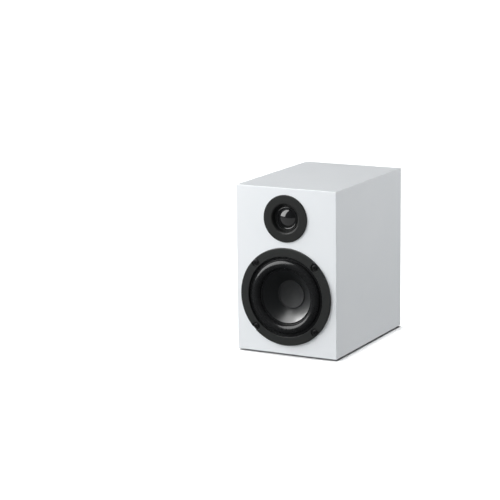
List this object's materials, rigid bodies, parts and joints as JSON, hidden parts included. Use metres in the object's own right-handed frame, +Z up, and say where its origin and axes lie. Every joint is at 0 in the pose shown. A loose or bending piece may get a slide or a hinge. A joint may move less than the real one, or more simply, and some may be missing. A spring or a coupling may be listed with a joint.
{
  "type": "bookshelf loudspeaker",
  "caption": "Two-way bookshelf loudspeaker: white box, black woofer low on the front, dome tweeter above it, flared port and screw terminals behind.",
  "frame": {"origin": "centre of the footprint, on the surface that the rubber feet stand on", "axes": "+Z up; the drivers face -Y and the terminals +Y; +X to the right as seen from in front"},
  "size_m": [0.15, 0.2284, 0.231],
  "materials": {
    "white_lacquer": "satin white lacquer on MDF",
    "bare_mdf": "raw MDF",
    "black_casting": "black satin powder coat",
    "black_plastic": "fine satin black moulding",
    "black_steel": "black oxide",
    "zinc_steel": "zinc plated",
    "magnet": "sintered ferrite",
    "rubber": "satin black rubber",
    "foam": "closed-cell foam",
    "cone_paper": "coated black paper",
    "spider_cloth": "phenolic-dipped cotton",
    "former": "brown aramid paper",
    "silk": "coated silk",
    "copper": "enamelled copper",
    "fibre_strip": "phenolic board",
    "circuit_board": "solder-mask green",
    "film_capacitor": "yellow tape wrap",
    "ceramic": "cement-filled ceramic",
    "red_plastic": "red moulding",
    "knob_black": "black moulding",
    "brass": "gold-flashed brass",
    "wire_jacket": "PVC insulation",
    "wadding": "polyester wadding"
  },
  "bodies": {
    "cabinet": {"front_baffle": "white_lacquer", "bottom_board": "white_lacquer", "top_board": "white_lacquer", "left_board": "white_lacquer", "right_board": "white_lacquer", "rear_panel": "white_lacquer", "window_brace": "bare_mdf", "rubber_feet": "rubber", "woofer_basket": "black_casting", "woofer_gasket": "foam", "woofer_screws": "black_steel", "woofer_surround": "rubber", "woofer_spider": "spider_cloth", "woofer_top_plate": "zinc_steel", "woofer_magnet": "magnet", "woofer_yoke": "zinc_steel", "woofer_terminal_strip": "fibre_strip", "woofer_tinsel_leads": "copper", "tweeter_face_ring": "black_plastic", "tweeter_chassis": "black_plastic", "tweeter_screws": "black_steel", "tweeter_carrier_ring": "black_plastic", "tweeter_surround": "silk", "tweeter_top_plate": "zinc_steel", "tweeter_magnet": "magnet", "tweeter_yoke": "zinc_steel", "tweeter_rear_chamber": "black_plastic", "tweeter_lugs": "brass", "terminal_cup": "black_plastic", "terminal_screws": "black_steel", "binding_posts": "brass", "post_nuts": "brass", "port_mouth": "black_plastic", "port_tube": "black_plastic", "crossover_board": "circuit_board", "crossover_spacers": "black_plastic", "crossover_screws": "zinc_steel", "choke_bobbin": "black_plastic", "choke_winding": "copper", "tweeter_choke": "copper", "crossover_capacitors": "film_capacitor", "crossover_resistor": "ceramic", "input_wires": "wire_jacket", "woofer_wires": "wire_jacket", "tweeter_wires": "wire_jacket", "wire_clips": "black_plastic", "side_wadding": "wadding", "top_wadding": "wadding"},
    "woofer_diaphragm": {"woofer_cone": "cone_paper", "woofer_dust_cap": "black_plastic", "woofer_coil_former": "former", "woofer_coil_winding": "copper"},
    "tweeter_diaphragm": {"tweeter_dome": "silk", "tweeter_voice_coil": "copper"},
    "positive_clamp": {"positive_collar": "brass"},
    "positive_grip": {"positive_knob": "red_plastic", "positive_core": "brass"},
    "negative_clamp": {"negative_collar": "brass"},
    "negative_grip": {"negative_knob": "knob_black", "negative_core": "brass"}
  },
  "joints": [
    {"name": "woofer_travel", "type": "slide", "parent": "cabinet", "child": "woofer_diaphragm", "axis": [0, -1, 0], "range_m": [-0.004, 0.004], "stiffness_N_per_m": 1075, "deforming": ["woofer_surround", "woofer_spider", "woofer_tinsel_leads"]},
    {"name": "tweeter_travel", "type": "slide", "parent": "cabinet", "child": "tweeter_diaphragm", "axis": [0, -1, 0], "range_m": [-0.0005, 0.0005], "stiffness_N_per_m": 40, "deforming": ["tweeter_surround"]},
    {"name": "positive_clamp_slide", "type": "slide", "parent": "cabinet", "child": "positive_clamp", "axis": [0, 1, 0], "range_m": [0, 0.005]},
    {"name": "positive_knob_turn", "type": "hinge", "parent": "positive_clamp", "child": "positive_grip", "pos_m": [0.0095, 0.1082, 0.064], "axis": [0, 1, 0], "range_deg": [0, 1800]},
    {"name": "negative_clamp_slide", "type": "slide", "parent": "cabinet", "child": "negative_clamp", "axis": [0, 1, 0], "range_m": [0, 0.005]},
    {"name": "negative_knob_turn", "type": "hinge", "parent": "negative_clamp", "child": "negative_grip", "pos_m": [-0.0095, 0.1082, 0.064], "axis": [0, 1, 0], "range_deg": [0, 1800]}
  ],
  "couplings": [
    {"joint": "positive_clamp_slide", "follows": "positive_knob_turn", "m_per_rad": 0.000159},
    {"joint": "negative_clamp_slide", "follows": "negative_knob_turn", "m_per_rad": 0.000159}
  ]
}
